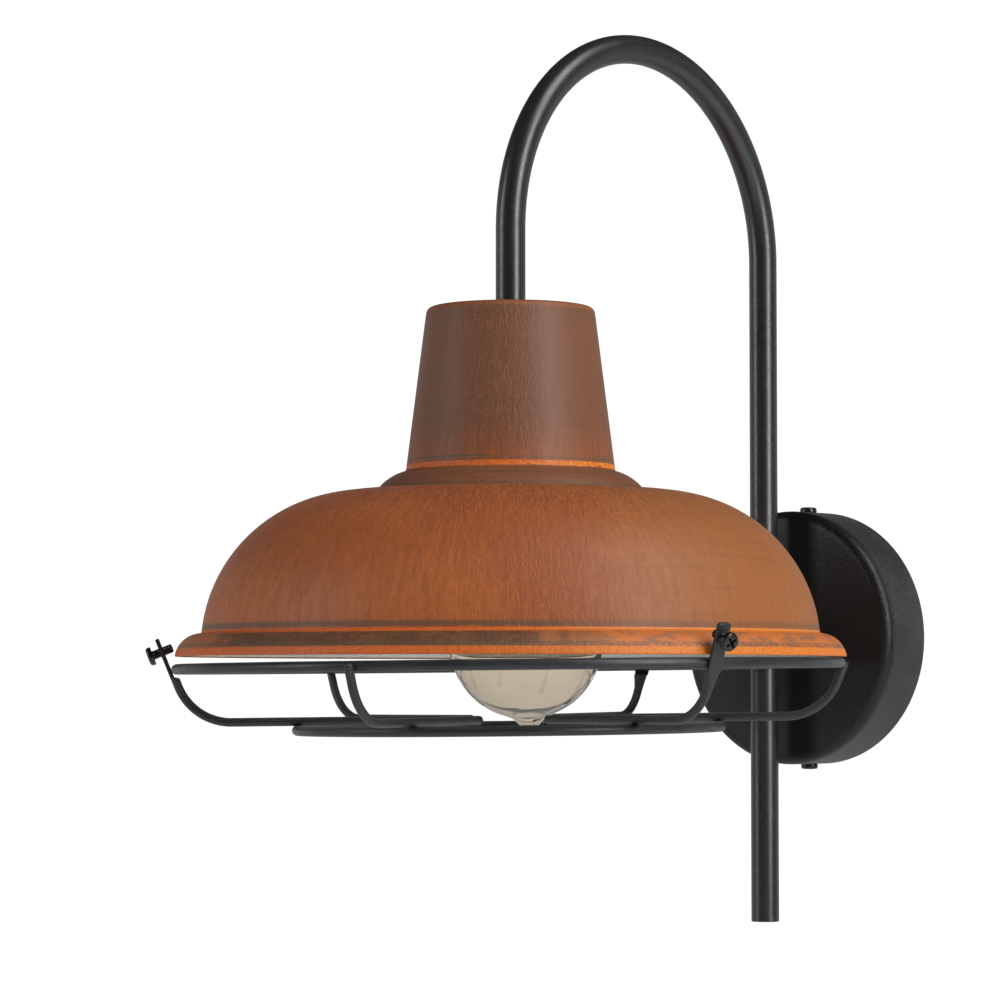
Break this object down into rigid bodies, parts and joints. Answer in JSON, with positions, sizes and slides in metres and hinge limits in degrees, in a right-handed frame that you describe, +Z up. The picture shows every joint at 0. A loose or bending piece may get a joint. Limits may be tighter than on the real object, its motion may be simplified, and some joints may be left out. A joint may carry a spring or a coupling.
{
  "type": "cage wall light",
  "caption": "Wall light with a bent tube arm, a spun shade, a screw-in bulb and a wire cage that clamps to the rim.",
  "frame": {"origin": "middle of the canopy on the wall plane", "axes": "+Z up, +Y into the wall, the light reaches towards -Y, +X to the right when facing the wall"},
  "size_m": [0.2987, 0.3711, 0.4055],
  "materials": {
    "canopy_black": "textured",
    "arm_black": "satin",
    "shade_rust": "aged, mottled",
    "cage_black": "satin",
    "screw_black": "gloss",
    "zinc": "zinc plated",
    "brass": "plain",
    "nylon": "natural",
    "phenolic": "satin",
    "ceramic": "glazed",
    "plug_black": "matt",
    "core_live": "matt",
    "core_neutral": "matt",
    "core_earth": "matt",
    "solder": "dull",
    "black_glass": "polished",
    "cap_nickel": "nickel plated",
    "clear_glass": "clear",
    "stem_glass": "clear",
    "lead_nickel": "drawn wire",
    "filament": "matt carbon"
  },
  "bodies": {
    "lamp": {"wall_bracket": "zinc", "earth_screw": "brass", "earth_lug": "zinc", "earth_lead": "core_earth", "terminal_block": "nylon", "terminal_barrels": "brass", "terminal_screws": "zinc", "canopy": "canopy_black", "canopy_screws": "screw_black", "arm_stub": "zinc", "arm_collar": "arm_black", "stub_washer": "zinc", "stub_nut": "zinc", "gooseneck_tube": "arm_black", "tube_end_plug": "plug_black", "live_core": "core_live", "neutral_core": "core_neutral", "top_nipple": "zinc", "top_washer": "zinc", "top_nut": "zinc", "shade": "shade_rust", "holder_cap": "phenolic", "holder_shell": "phenolic", "holder_insert": "ceramic", "holder_terminals": "brass", "holder_thread": "brass", "holder_contact": "brass"},
    "bulb": {"bulb_contact": "solder", "bulb_insulator": "black_glass", "bulb_cap": "cap_nickel", "bulb_glass": "clear_glass", "bulb_stem": "stem_glass", "bulb_leads": "lead_nickel", "filament_supports": "lead_nickel", "filament": "filament"},
    "cage": {"cage_upper_ring": "cage_black", "cage_lower_ring": "cage_black", "cage_rib_left": "cage_black", "cage_rib_right": "cage_black", "cage_rib_back": "cage_black", "clip_rib_1": "cage_black", "clip_rib_2": "cage_black", "clip_rib_3": "cage_black"},
    "screw_1": {"clamp_screw_1": "screw_black"},
    "screw_2": {"clamp_screw_2": "screw_black"},
    "screw_3": {"clamp_screw_3": "screw_black"}
  },
  "joints": [
    {"name": "cage_drop", "type": "slide", "parent": "lamp", "child": "cage", "axis": [0, 0, -1], "range_m": [0, 0.08]},
    {"name": "bulb_turn", "type": "hinge", "parent": "lamp", "child": "bulb", "pos_m": [0.00112, -0.22399, 0.09828], "axis": [-0.0363, -0.0327, 0.9988], "continuous": true},
    {"name": "clamp_1_out", "type": "slide", "parent": "cage", "child": "screw_1", "axis": [-0.6436, -0.6665, -0.3762], "range_m": [0, 0.004]},
    {"name": "clamp_2_out", "type": "slide", "parent": "cage", "child": "screw_2", "axis": [0.9054, -0.2223, -0.3616], "range_m": [0, 0.004]},
    {"name": "clamp_3_out", "type": "slide", "parent": "cage", "child": "screw_3", "axis": [-0.2538, 0.8971, -0.3616], "range_m": [0, 0.004]}
  ]
}
